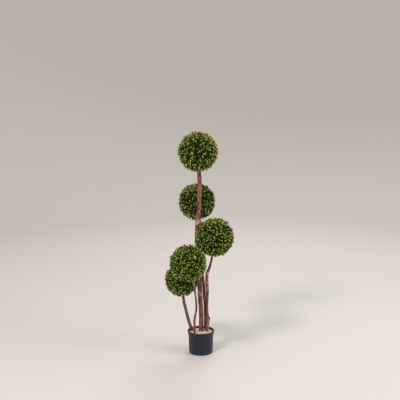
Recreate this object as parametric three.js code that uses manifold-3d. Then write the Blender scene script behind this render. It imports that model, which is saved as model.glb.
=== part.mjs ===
// Artificial boxwood topiary: five clipped balls, each on its own crooked wooden stem, set in a
// filled plastic pot. Millimetres, +Z up, +Y away from the viewer. The origin is the middle of
// the pot's flat underside.

import * as THREE from 'three';
import { mergeVertices } from 'three/addons/utils/BufferGeometryUtils.js';
import Module from 'manifold-3d';

// Clearance between two pieces that touch on the real product
const SEAT_GAP = 0.3;

// Edges shorter than this, left by joining, are closed up
const SLIVER = 0.002;

// Pot: a thin moulded shell that steps out to a collar and ends in a rolled lip
const POT_HEIGHT = 104;
const POT_BASE_RADIUS = 53.4;
const POT_BODY_TOP_RADIUS = 55.5;
const POT_WALL = 1.7;
const POT_FLOOR = 3;
const POT_FOOT_ROUND = 4.5;
const COLLAR_RADIUS = 57;
const COLLAR_FOOT = 80;
const COLLAR_STEP = 2.5;
const LIP_RADIUS = 60.2;
const LIP_HEIGHT = 5.5;
const POT_SEGMENTS = 32;

// Filling: a cast block with a level top that falls away a little towards the pot's wall
const FILL_TOP = 95.5;
const FILL_EDGE = 91.5;
const FILL_LEVEL_RADIUS = 49;

// Stems
const STEM_SIDES = 8;
const STEM_RING_STEP = 18;
const OUT_OF_ROUND = 0.07;
const STEM_SAMPLES = 80;

// Balls: where the core, the stem's end and the peg on it lie, as shares of the ball's radius
const CORE_SHARE = 0.79;
const CORE_DETAIL = 2;
const STEM_END_SHARE = 0.82;
const PEG_LENGTH_SHARE = 0.3;

// Sprigs of twig and leaves, larger than life because each leaf stands for several small ones
const SPRIGS_PER_BALL = 24;
const SPRIG_SCATTER = 0.14;
const TWIG_FOOT_SHARE = 0.7;
const TWIG_TIP_SHARE = 0.93;
const TWIG_FOOT_RADIUS = 3;
const TWIG_TIP_RADIUS = 1.5;
const TWIG_LEAN = 0.2;
const LEAF_PAIRS = [
  { rootShare: 0.73, lean: 0.9, length: 35, width: 23 },
  { rootShare: 0.87, lean: 1.2, length: 29, width: 20 },
];
const LEAF_LEAN_SCATTER = 0.3;
const LEAF_THICKNESS_SHARE = 0.1;
const LEAF_WIDEST_SHARE = 0.55;
const LEAF_TIP_SCATTER = 0.03;
const LEAF_CLEARANCE = 1;
const GOLDEN_ANGLE = Math.PI * (3 - Math.sqrt(5));

const COLOURS = {
  pot: 0x303136,
  fill: 0xb3a88f,
  bark: 0x7d463d,
  foliage: 0x6f8f2b,
};

// Each ball's middle, its radius to the leaf tips, and the seed of its twigs
const BALLS = {
  top_ball: { middle: [-12.6, 0, 911.1], radius: 90.8, seed: 11 },
  back_ball: { middle: [-17.9, 97.5, 674.5], radius: 86, seed: 23 },
  right_ball: { middle: [59.4, -45, 541.2], radius: 88.6, seed: 37 },
  front_ball: { middle: [-55.4, -130, 445.1], radius: 82.6, seed: 43 },
  left_ball: { middle: [-86.1, 52, 323.4], radius: 77.8, seed: 59 },
};

// Each stem's stations from its flat cut on the filling to where it enters its ball, as
// [x, y, height, radius], and its knots, whose bearing is counted from +X towards +Y
const STEMS = {
  main_stem: {
    ball: 'top_ball',
    tipRadius: 7.8,
    phase: 0.4,
    stations: [
      [1.2, 8, FILL_TOP + SEAT_GAP, 10],
      [1.1, 9, 150, 9.7],
      [0.6, 9.9, 193, 10.1],
      [-1.8, 10, 238, 10.4],
      [-3.2, 10, 274, 11.4],
      [-4.5, 10, 312, 11.3],
      [-7.8, 9.6, 350, 10.6],
      [-13.3, 8.9, 416, 8.7],
      [-17, 7.5, 500, 8.7],
      [-17.2, 5.4, 568, 9.5],
      [-16.2, 4.8, 588, 9.9],
      [-12, 4.3, 604, 9.7],
      [-10.3, 2.8, 652, 8.9],
      [-7, 2.3, 672, 8.7],
      [-6.4, 1.5, 715, 8.4],
      [-4.9, 1, 755, 8.5],
      [-6.7, 0.5, 795, 8.3],
    ],
    knots: [
      { height: 603, bearing: 180, rise: 6, spread: 9 },
      { height: 599, bearing: -5, rise: 7.2, spread: 10 },
      { height: 232, bearing: 200, rise: 1.2, spread: 12 },
    ],
  },
  back_stem: {
    ball: 'back_ball',
    tipRadius: 4.2,
    phase: 1.9,
    stations: [
      [22.6, 12, FILL_TOP + SEAT_GAP, 5.2],
      [20.8, 12.3, 122, 6.6],
      [19.3, 12.8, 160, 6.7],
      [19, 14.2, 210, 6.3],
      [17.2, 15.6, 242, 6.4],
      [15.3, 17.3, 275, 6.3],
      [13.1, 20.2, 311, 6],
      [7.8, 24.5, 355, 4.9],
      [3.2, 37, 441, 4.4],
      [1, 64, 555, 4.3],
    ],
    knots: [{ height: 254, bearing: 190, rise: 1.5, spread: 6 }],
  },
  right_stem: {
    ball: 'right_ball',
    tipRadius: 4.6,
    phase: 3.1,
    stations: [
      [28.6, -0.9, FILL_TOP + SEAT_GAP, 5],
      [30.4, -0.4, 117, 6.5],
      [31.7, 0.3, 150, 7.3],
      [29.2, 0.7, 182, 5.6],
      [27.8, 1, 212, 4.9],
      [28.8, 0.1, 252, 5.4],
      [29.2, -1, 289, 6.4],
      [26.4, -6, 355, 7.1],
      [29.9, -8, 374, 7.1],
      [36.9, -12.5, 394, 5.7],
      [43.5, -19, 419, 5],
      [49, -26, 447, 4.7],
    ],
    knots: [
      { height: 158, bearing: -5, rise: 5, spread: 8 },
      { height: 371, bearing: 200, rise: 1.6, spread: 8 },
    ],
  },
  front_stem: {
    ball: 'front_ball',
    tipRadius: 4.2,
    phase: 4.6,
    stations: [
      [-28, -28, FILL_TOP + SEAT_GAP, 5],
      [-28.5, -28, 130, 4.6],
      [-28.8, -28.2, 157, 4.7],
      [-25.9, -30, 178, 4.5],
      [-21.5, -33.5, 200, 4.2],
      [-19.8, -39, 223, 4.2],
      [-21.4, -49, 258, 4.2],
      [-25.5, -63.5, 298.5, 4.5],
      [-29.9, -78, 334.5, 4.4],
    ],
    knots: [{ height: 158, bearing: 180, rise: 1.2, spread: 7 }],
  },
  left_stem: {
    ball: 'left_ball',
    tipRadius: 5.8,
    phase: 5.5,
    stations: [
      [-37, 11.1, FILL_TOP + SEAT_GAP, 7.6],
      [-48.5, 15.2, 121, 6.9],
      [-57.3, 20, 148, 6.6],
      [-65.5, 25.5, 179, 6.5],
      [-74.9, 33, 219, 6.3],
      [-78.8, 37.5, 242, 6.1],
    ],
    knots: [{ height: 215, bearing: 180, rise: 1.5, spread: 9 }],
  },
};

const wasm = await Module();
wasm.setup();

/** A repeatable source of numbers from 0 to 1. */
function seededRandom(seed) {
  let state = seed;
  return () => {
    state = (state + 0x6d2b79f5) | 0;
    let mixed = Math.imul(state ^ (state >>> 15), 1 | state);
    mixed = (mixed + Math.imul(mixed ^ (mixed >>> 7), 61 | mixed)) ^ mixed;
    return ((mixed ^ (mixed >>> 14)) >>> 0) / 4294967296;
  };
}

/** A closed three.js geometry as a solid that can be joined and cut. */
function toSolid(geometry) {
  const bare = geometry.clone();
  bare.deleteAttribute('normal');
  bare.deleteAttribute('uv');
  const merged = mergeVertices(bare);
  return new wasm.Manifold(new wasm.Mesh({
    numProp: 3,
    vertProperties: new Float32Array(merged.attributes.position.array),
    triVerts: new Uint32Array(merged.index.array),
  }));
}

/** A solid's surface as a three.js geometry. */
function toGeometry(solid) {
  const { vertProperties, triVerts } = solid.getMesh();
  const geometry = new THREE.BufferGeometry();
  geometry.setAttribute('position', new THREE.BufferAttribute(vertProperties, 3));
  geometry.setIndex(new THREE.BufferAttribute(triVerts, 1));
  geometry.computeVertexNormals();
  return geometry;
}

/** Several solids joined into one closed piece, with any hollow sealed by the joining filled. */
function joined(solids) {
  const whole = solids.reduce((sum, solid) => sum.add(solid)).simplify(SLIVER);
  return whole.decompose().reduce((largest, other) => (
    other.volume() > largest.volume() ? other : largest
  ));
}

/** A turned piece about the Z axis, from its profile as [radius, height] pairs. */
function turned(profile) {
  const outline = profile.map(([radius, height]) => new THREE.Vector2(radius, height));
  return new THREE.LatheGeometry(outline, POT_SEGMENTS).rotateX(Math.PI / 2);
}

function potGeometry() {
  const collarTop = POT_HEIGHT - LIP_HEIGHT;
  const inside = COLLAR_RADIUS - POT_WALL;
  return turned([
    [0, 0],
    [POT_BASE_RADIUS - POT_FOOT_ROUND, 0],
    [POT_BASE_RADIUS - POT_FOOT_ROUND * 0.3, POT_FOOT_ROUND * 0.3],
    [POT_BASE_RADIUS, POT_FOOT_ROUND],
    [POT_BODY_TOP_RADIUS, COLLAR_FOOT],
    [COLLAR_RADIUS, COLLAR_FOOT + COLLAR_STEP],
    [COLLAR_RADIUS, collarTop],
    [LIP_RADIUS - 0.8, collarTop + 0.6],
    [LIP_RADIUS, collarTop + 2],
    [LIP_RADIUS - 0.5, POT_HEIGHT - 0.8],
    [LIP_RADIUS - 2, POT_HEIGHT],
    [inside + 1.5, POT_HEIGHT - 0.8],
    [inside, collarTop],
    [inside, COLLAR_FOOT + COLLAR_STEP],
    [POT_BODY_TOP_RADIUS - POT_WALL, COLLAR_FOOT],
    [POT_BASE_RADIUS - POT_WALL, POT_FLOOR],
    [0, POT_FLOOR],
  ]);
}

function fillGeometry() {
  const offWall = POT_WALL + SEAT_GAP;
  return turned([
    [0, POT_FLOOR + SEAT_GAP],
    [POT_BASE_RADIUS - offWall, POT_FLOOR + SEAT_GAP],
    [POT_BODY_TOP_RADIUS - offWall, COLLAR_FOOT],
    [COLLAR_RADIUS - offWall, COLLAR_FOOT + COLLAR_STEP],
    [COLLAR_RADIUS - offWall, FILL_EDGE],
    [FILL_LEVEL_RADIUS, FILL_TOP],
    [0, FILL_TOP],
  ]);
}

/** A stem's run: its curve from the cut to its ball, and its radius at any height. */
function stemRun({ ball, tipRadius, stations }) {
  const { middle, radius } = BALLS[ball];
  const points = stations.map(([x, y, height]) => new THREE.Vector3(x, y, height));
  const last = points.at(-1);
  const towards = new THREE.Vector3(...middle).sub(last).normalize();
  const tip = new THREE.Vector3(...middle).addScaledVector(towards, -STEM_END_SHARE * radius);
  const curve = new THREE.CatmullRomCurve3([...points, tip], false, 'centripetal');
  const heights = [...stations.map((station) => station[2]), tip.z];
  const radii = [...stations.map((station) => station[3]), tipRadius];
  const radiusAt = (height) => {
    const above = heights.findIndex((value) => value >= height);
    if (above <= 0) return above === 0 ? radii[0] : radii.at(-1);
    const share = (height - heights[above - 1]) / (heights[above] - heights[above - 1]);
    return THREE.MathUtils.lerp(radii[above - 1], radii[above], THREE.MathUtils.smoothstep(share, 0, 1));
  };
  return { curve, radiusAt };
}

/** How far the stem's surface lies from its middle line, out of round and with its knots. */
function surfaceRadius(stem, radiusAt, point, outward, angle) {
  const wobble = Math.sin(2 * angle + stem.phase + point.z / 60) + 0.6 * Math.sin(3 * angle + point.z / 35);
  let radius = radiusAt(point.z) * (1 + OUT_OF_ROUND * wobble);
  for (const { height, bearing, rise, spread } of stem.knots) {
    const turn = THREE.MathUtils.degToRad(bearing);
    const facing = Math.max(0, outward.x * Math.cos(turn) + outward.y * Math.sin(turn));
    radius += rise * facing ** 2 * Math.exp(-(((point.z - height) / spread) ** 2));
  }
  return radius;
}

/** A crooked tapering stem with a level cut at its foot and a square one at its tip. */
function stemGeometry(stem, { curve, radiusAt }) {
  const steps = Math.ceil(curve.getLength() / STEM_RING_STEP);
  const { tangents, normals, binormals } = curve.computeFrenetFrames(steps);
  const positions = [];
  const indices = [];
  for (let ring = 0; ring <= steps; ring += 1) {
    const middle = curve.getPointAt(ring / steps);
    for (let side = 0; side < STEM_SIDES; side += 1) {
      const angle = (side / STEM_SIDES) * 2 * Math.PI;
      const outward = normals[ring].clone().multiplyScalar(Math.cos(angle));
      outward.addScaledVector(binormals[ring], Math.sin(angle));
      const corner = middle.clone();
      corner.addScaledVector(outward, surfaceRadius(stem, radiusAt, middle, outward, angle));
      if (ring === 0) {
        corner.addScaledVector(tangents[0], (middle.z - corner.z) / tangents[0].z);
      }
      positions.push(...corner.toArray());
    }
  }
  for (let ring = 0; ring < steps; ring += 1) {
    for (let side = 0; side < STEM_SIDES; side += 1) {
      const here = ring * STEM_SIDES + side;
      const beside = ring * STEM_SIDES + ((side + 1) % STEM_SIDES);
      indices.push(here, beside, beside + STEM_SIDES, here, beside + STEM_SIDES, here + STEM_SIDES);
    }
  }
  const top = steps * STEM_SIDES;
  for (let side = 1; side < STEM_SIDES - 1; side += 1) {
    indices.push(0, side + 1, side, top, top + side, top + side + 1);
  }
  const geometry = new THREE.BufferGeometry();
  geometry.setAttribute('position', new THREE.Float32BufferAttribute(positions, 3));
  geometry.setIndex(indices);
  geometry.computeVertexNormals();
  return geometry;
}

/** A leaf of eight faces from its root to its tip, with its upper side towards `up`. */
function leafGeometry(root, tip, width, up) {
  const along = tip.clone().sub(root);
  const across = new THREE.Vector3().crossVectors(along, up).setLength(width / 2);
  const over = new THREE.Vector3().crossVectors(across, along);
  over.setLength(LEAF_THICKNESS_SHARE * along.length() / 2);
  const widest = root.clone().addScaledVector(along, LEAF_WIDEST_SHARE);
  const corners = [
    root,
    tip,
    widest.clone().add(across),
    widest.clone().sub(across),
    widest.clone().add(over),
    widest.clone().sub(over),
  ];
  const geometry = new THREE.BufferGeometry();
  const positions = corners.flatMap((corner) => corner.toArray());
  geometry.setAttribute('position', new THREE.Float32BufferAttribute(positions, 3));
  geometry.setIndex([
    0, 2, 4, 0, 4, 3, 0, 3, 5, 0, 5, 2,
    1, 4, 2, 1, 3, 4, 1, 5, 3, 1, 2, 5,
  ]);
  return geometry;
}

/** A round piece between two points, with a flat cut at each end. */
function rodGeometry(from, to, fromRadius, toRadius, sides) {
  const along = to.clone().sub(from);
  const geometry = new THREE.CylinderGeometry(toRadius, fromRadius, along.length(), sides);
  const turn = new THREE.Quaternion().setFromUnitVectors(
    new THREE.Vector3(0, 1, 0),
    along.clone().normalize(),
  );
  const halfway = from.clone().lerp(to, 0.5);
  return geometry.applyQuaternion(turn).translate(...halfway.toArray());
}

/** Even directions over a sphere. */
function evenDirection(index, count) {
  const height = 1 - (2 * (index + 0.5)) / count;
  const reach = Math.sqrt(1 - height * height);
  const turn = index * GOLDEN_ANGLE;
  return new THREE.Vector3(reach * Math.cos(turn), reach * Math.sin(turn), height);
}

/** A direction leaned by an angle towards a turn around it. */
function leaned(direction, angle, turn) {
  const helper = Math.abs(direction.z) < 0.9 ? new THREE.Vector3(0, 0, 1) : new THREE.Vector3(1, 0, 0);
  const side = new THREE.Vector3().crossVectors(direction, helper).normalize();
  side.applyAxisAngle(direction, turn);
  return direction.clone().applyAxisAngle(side, angle);
}

/** True if a leaf or twig between two points stays in its ball, off other balls and off all stems. */
function isClear(from, to, halfWidth, ball, otherBalls, runs) {
  for (const share of [0.25, 0.5, 0.75, 1]) {
    const point = from.clone().lerp(to, share).add(ball.centre);
    const breadth = share === 1 ? 0 : halfWidth;
    if (otherBalls.some(({ centre, radius }) => point.distanceTo(centre) < radius)) return false;
    for (const { samples } of runs) {
      const touches = samples.some(({ at, radius }) => (
        point.distanceTo(at) < radius + breadth + LEAF_CLEARANCE
      ));
      if (touches) return false;
    }
  }
  return to.length() <= ball.radius;
}

/** One sprig as solids to be joined: a twig, and pairs of leaves set crosswise to each other. */
function sprigSolids(direction, ball, otherBalls, runs, random) {
  const axis = leaned(direction, TWIG_LEAN * random(), 2 * Math.PI * random());
  const roll = 2 * Math.PI * random();
  const onTwig = (share) => direction.clone()
    .multiplyScalar(TWIG_FOOT_SHARE * ball.radius)
    .addScaledVector(axis, (share - TWIG_FOOT_SHARE) * ball.radius);
  const foot = onTwig(TWIG_FOOT_SHARE);
  const tip = onTwig(TWIG_TIP_SHARE);
  if (!isClear(foot, tip, TWIG_FOOT_RADIUS, ball, otherBalls, runs)) return [];
  const solids = [toSolid(rodGeometry(foot, tip, TWIG_FOOT_RADIUS, TWIG_TIP_RADIUS, 3))];

  LEAF_PAIRS.forEach(({ rootShare, lean, length, width }, pair) => {
    const root = onTwig(rootShare);
    for (const half of [0, Math.PI]) {
      const spread = lean + LEAF_LEAN_SCATTER * (random() - 0.5);
      const way = leaned(axis, spread, roll + half + (pair * Math.PI) / 2 + LEAF_LEAN_SCATTER * random());
      const leafTip = root.clone().addScaledVector(way, length);
      leafTip.setLength(ball.radius * (1 - LEAF_TIP_SCATTER * random()));
      if (isClear(root, leafTip, width / 2, ball, otherBalls, runs)) {
        solids.push(toSolid(leafGeometry(root, leafTip, width, axis)));
      }
    }
  });
  return solids;
}

/** A clipped ball about its own middle: a core, the peg that meets its stem, twigs and leaves. */
function ballGeometry(name, runs) {
  const balls = Object.entries(BALLS).map(([key, { middle, radius, seed }]) => (
    { key, radius, seed, centre: new THREE.Vector3(...middle) }
  ));
  const ball = balls.find(({ key }) => key === name);
  const otherBalls = balls.filter(({ key }) => key !== name);
  const random = seededRandom(ball.seed);
  const core = new THREE.IcosahedronGeometry(CORE_SHARE * ball.radius, CORE_DETAIL);

  const own = runs.find((run) => run.ball === name);
  const stemTip = own.curve.getPointAt(1).sub(ball.centre);
  const tangent = own.curve.getTangentAt(1);
  const pegFoot = stemTip.clone().addScaledVector(tangent, SEAT_GAP);
  const pegHead = pegFoot.clone().addScaledVector(tangent, PEG_LENGTH_SHARE * ball.radius);
  const peg = rodGeometry(pegFoot, pegHead, own.tipRadius, own.tipRadius, STEM_SIDES);

  const solids = [toSolid(core), toSolid(peg)];
  for (let index = 0; index < SPRIGS_PER_BALL; index += 1) {
    const even = evenDirection(index, SPRIGS_PER_BALL);
    const direction = leaned(even, SPRIG_SCATTER * random(), 2 * Math.PI * random());
    solids.push(...sprigSolids(direction, ball, otherBalls, runs, random));
  }
  return toGeometry(joined(solids));
}

function addMesh(group, name, geometry, material, position = [0, 0, 0]) {
  const mesh = new THREE.Mesh(geometry, material);
  mesh.name = name;
  mesh.position.set(...position);
  group.add(mesh);
}

function material(color, roughness) {
  return new THREE.MeshStandardMaterial({ color, roughness, metalness: 0, flatShading: true });
}

const topiary = new THREE.Group();
topiary.name = 'five_ball_topiary';

addMesh(topiary, 'pot', potGeometry(), material(COLOURS.pot, 0.55));
addMesh(topiary, 'pot_fill', fillGeometry(), material(COLOURS.fill, 0.9));

const runs = Object.entries(STEMS).map(([name, stem]) => {
  const run = stemRun(stem);
  const samples = run.curve.getSpacedPoints(STEM_SAMPLES).map((at) => ({ at, radius: run.radiusAt(at.z) }));
  return { name, ball: stem.ball, tipRadius: stem.tipRadius, samples, ...run };
});
for (const run of runs) {
  addMesh(topiary, run.name, stemGeometry(STEMS[run.name], run), material(COLOURS.bark, 0.8));
}
for (const [name, { middle }] of Object.entries(BALLS)) {
  addMesh(topiary, name, ballGeometry(name, runs), material(COLOURS.foliage, 0.6), middle);
}

export default topiary;
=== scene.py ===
"""The looks of an artificial boxwood topiary: five clipped balls on crooked sticks in a filled pot.

Metres, +Z up, +Y away from the viewer, with the origin in the middle of the pot's underside. The
stems follow the same stations as the solids that they replace, and each ball's twigs and leaves
grow by the same rule as its solid's, carried on to finer twigs within the same reach. A bearing
is counted in degrees from +X towards +Y.
"""

import logging
import math
from bisect import bisect_left
from collections.abc import Mapping, Sequence
from dataclasses import dataclass
from enum import Enum
from itertools import pairwise

import bpy
import numpy as np
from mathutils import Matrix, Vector, noise

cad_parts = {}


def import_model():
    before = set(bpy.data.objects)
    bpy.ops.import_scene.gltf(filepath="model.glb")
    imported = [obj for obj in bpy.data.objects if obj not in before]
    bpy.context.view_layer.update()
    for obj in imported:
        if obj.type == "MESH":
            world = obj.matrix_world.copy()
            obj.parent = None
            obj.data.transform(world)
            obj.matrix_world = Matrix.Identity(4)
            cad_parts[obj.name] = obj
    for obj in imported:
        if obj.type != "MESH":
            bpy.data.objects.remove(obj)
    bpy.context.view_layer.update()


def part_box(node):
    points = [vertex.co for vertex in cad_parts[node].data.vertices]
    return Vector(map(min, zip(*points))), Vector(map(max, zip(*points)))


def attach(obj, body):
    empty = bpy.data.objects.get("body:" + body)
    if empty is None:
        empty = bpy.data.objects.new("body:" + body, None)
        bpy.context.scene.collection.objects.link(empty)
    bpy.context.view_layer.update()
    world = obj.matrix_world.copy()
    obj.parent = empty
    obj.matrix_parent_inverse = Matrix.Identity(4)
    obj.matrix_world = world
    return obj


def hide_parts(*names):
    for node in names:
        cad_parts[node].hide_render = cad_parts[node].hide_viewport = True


LOG = logging.getLogger("topiary")
BODY = "root"
GOLDEN_ANGLE = math.pi * (3 - math.sqrt(5))
CREASE = math.radians(32)
AXIS_GAP = 0.002  # how near the axis the first and last ring of a turned shape come
NEARLY_UPRIGHT = 0.9  # directions whose height is more than this turn about +X rather than +Z

Point = tuple[float, float, float]
Outline = list[tuple[float, float]]  # points of a profile, as distance from its axis and height
Values = Mapping[str | int, object]
Links = Mapping[str | int, bpy.types.NodeSocket]


class Slot(Enum):
    """The record's material slots."""

    POT = "pot_plastic"
    FILLING = "cast_filling"
    BARK = "bark"
    FOLIAGE = "foliage"


class Growth(Enum):
    """How old the growth is that a moulded leaf stands for, from the tip of a spray inwards."""

    FRESH = "fresh"
    GROWN = "grown"
    # Also given to sprays that another ball shades, where its dark colour is painted shade.
    OLD_AND_SHADED = "old"


# Colours and shader nodes


def linear(colour: str) -> tuple[float, float, float, float]:
    """Turns an sRGB hex colour into the linear one that Blender works in.

    Args:
        colour: The colour as #rrggbb.

    Returns:
        The linear red, green, blue and alpha.
    """
    levels = [int(colour[place : place + 2], 16) / 255 for place in (1, 3, 5)]
    red, green, blue = (
        level / 12.92 if level <= 0.04045 else ((level + 0.055) / 1.055) ** 2.4 for level in levels
    )
    return red, green, blue, 1.0


def scale_of(size_mm: float) -> float:
    """The scale of a texture whose features are that many millimetres across."""
    return 1000 / size_mm


@dataclass(frozen=True)
class Mottle:
    """An uneven pattern, told by the real size of its patches and by its finer layers."""

    size_mm: float
    layers: float
    layer_strength: float = 0.5

    def values(self) -> dict[str, float]:
        """The pattern as a noise texture takes it."""
        scale = scale_of(self.size_mm)
        return {"Scale": scale, "Detail": self.layers, "Roughness": self.layer_strength}


@dataclass(frozen=True)
class Span:
    """How one measure follows another: what it is where the other is low, and where it is high."""

    low: float
    high: float
    at_low: float
    at_high: float

    def values(self) -> dict[str, float]:
        """The span as a range node takes it."""
        names = ("From Min", "From Max", "To Min", "To Max")
        return dict(zip(names, (self.low, self.high, self.at_low, self.at_high)))


@dataclass(frozen=True)
class Bump:
    """How strongly a pattern stands out of a surface, and how deep it is in metres."""

    strength: float
    depth: float

    def values(self) -> dict[str, float]:
        """The relief as a bump node takes it."""
        return {"Strength": self.strength, "Distance": self.depth}


def wire(
    tree: bpy.types.NodeTree, node: bpy.types.Node, values: Values | None, links: Links | None
) -> None:
    """Sets some of a node's inputs and links others.

    Args:
        tree: The node tree that holds it.
        node: The node.
        values: What each unlinked input is set to.
        links: The socket that each linked input reads.
    """
    for name, value in (values or {}).items():
        node.inputs[name].default_value = value
    for name, source in (links or {}).items():
        tree.links.new(source, node.inputs[name])


def add_node(
    tree: bpy.types.NodeTree,
    kind: str,
    output: str,
    values: Values | None = None,
    links: Links | None = None,
    stops: Sequence[tuple[float, str]] = (),
    **settings: object,
) -> bpy.types.NodeSocket:
    """Adds a shader node with its settings and links.

    Args:
        tree: The material's node tree.
        kind: The node's type, without the ShaderNode that each one begins with.
        output: Which of its outputs is read.
        values: What each unlinked input is set to.
        links: The socket that each linked input reads.
        stops: The places and sRGB hex colours of a colour ramp.
        settings: The node's own properties.

    Returns:
        The output that is read.
    """
    node = tree.nodes.new(f"ShaderNode{kind}")
    for name, setting in settings.items():
        setattr(node, name, setting)
    wire(tree, node, values, links)
    if stops:
        elements = node.color_ramp.elements
        while len(elements) < len(stops):
            elements.new(0.5)
        for element, (place, colour) in zip(elements, stops):
            element.position = place
            element.color = linear(colour)
    return node.outputs[output]


def new_material(
    name: str, values: Values
) -> tuple[bpy.types.Material, bpy.types.NodeTree, bpy.types.Node]:
    """Makes a material that holds one Principled shader.

    Args:
        name: The material's name.
        values: What is the same all over the surface, by the shader's inputs.

    Returns:
        The material, its node tree and its shader.
    """
    material = bpy.data.materials.new(name)
    material.use_nodes = True
    tree = material.node_tree
    shader = tree.nodes["Principled BSDF"]
    wire(tree, shader, values, None)
    return material, tree, shader


# Finishes


@dataclass(frozen=True)
class MouldedPolypropylene:
    """Black polypropylene, injection moulded: charcoal and satin, with a fine even grain that
    softens its shine, and a little dust near the foot.
    """

    name: str = "moulded_polypropylene"
    body: str = "#1d1e26"
    worn: str = "#272833"
    dust: str = "#484849"
    specular: float = 0.35
    ior: float = 1.49
    blotches: Mottle = Mottle(22, 4.0, 0.6)
    grain: Mottle = Mottle(0.9, 2.0)  # really about 0.2 mm, too fine to show, so drawn coarser
    bump: Bump = Bump(0.25, 0.0002)
    dust_by_height: Span = Span(0.0, 0.012, 0.5, 0.0)
    roughness_by_blotch: Span = Span(0.3, 0.7, 0.38, 0.52)

    def material(self) -> bpy.types.Material:
        """Builds the material.

        Returns:
            The plastic, blotched and dusted.
        """
        even = {"IOR": self.ior, "Specular IOR Level": self.specular}
        material, tree, shader = new_material(self.name, even)
        place = add_node(tree, "TexCoord", "Object")
        blotches = add_node(tree, "TexNoise", "Fac", self.blotches.values(), {"Vector": place})
        stops = ((0.35, self.body), (0.75, self.worn))
        plastic = add_node(tree, "ValToRGB", "Color", links={"Fac": blotches}, stops=stops)
        height = add_node(tree, "SeparateXYZ", "Z", links={"Vector": place})
        low = add_node(tree, "MapRange", "Result", self.dust_by_height.values(), {"Value": height})
        dusty = add_node(tree, "Math", "Value", links={0: low, 1: blotches}, operation="MULTIPLY")
        mixed = {"Fac": dusty, "Color1": plastic}
        coloured = add_node(tree, "MixRGB", "Color", {"Color2": linear(self.dust)}, mixed)
        grain = add_node(tree, "TexNoise", "Fac", self.grain.values(), {"Vector": place})
        satin = self.roughness_by_blotch.values()
        gloss = add_node(tree, "MapRange", "Result", satin, {"Value": blotches})
        bump = add_node(tree, "Bump", "Normal", self.bump.values(), {"Height": grain})
        wire(tree, shader, None, {"Base Color": coloured, "Roughness": gloss, "Normal": bump})
        return material


@dataclass(frozen=True)
class CastPlaster:
    """Gypsum plaster, poured and left as it set: matt and cream, with pale grains, darker damp
    stains and pinholes.
    """

    name: str = "cast_plaster"
    stain: str = "#8f806b"
    body: str = "#c1b39c"
    pale: str = "#e2d9c9"
    roughness: float = 0.85
    ior: float = 1.52
    stains: Mottle = Mottle(17, 5.0, 0.65)
    grain: Mottle = Mottle(1.6, 3.0)
    bump: Bump = Bump(0.5, 0.0006)
    pinhole_mm: float = 3.2
    dark_by_distance: Span = Span(0.05, 0.3, 0.6, 0.0)  # from a pinhole's middle

    def material(self) -> bpy.types.Material:
        """Builds the material.

        Returns:
            The plaster, stained and pitted.
        """
        even = {"IOR": self.ior, "Roughness": self.roughness}
        material, tree, shader = new_material(self.name, even)
        place = add_node(tree, "TexCoord", "Object")
        stains = add_node(tree, "TexNoise", "Fac", self.stains.values(), {"Vector": place})
        stops = ((0.3, self.stain), (0.47, self.body), (0.72, self.pale))
        plaster = add_node(tree, "ValToRGB", "Color", links={"Fac": stains}, stops=stops)
        spacing = {"Scale": scale_of(self.pinhole_mm)}
        away = add_node(tree, "TexVoronoi", "Distance", spacing, {"Vector": place})
        dark = add_node(tree, "MapRange", "Result", self.dark_by_distance.values(), {"Value": away})
        mixed = {"Fac": dark, "Color1": plaster}
        coloured = add_node(tree, "MixRGB", "Color", {"Color2": linear(self.stain)}, mixed)
        grain = add_node(tree, "TexNoise", "Fac", self.grain.values(), {"Vector": place})
        bump = add_node(tree, "Bump", "Normal", self.bump.values(), {"Height": grain})
        wire(tree, shader, None, {"Base Color": coloured, "Normal": bump})
        return material


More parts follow.
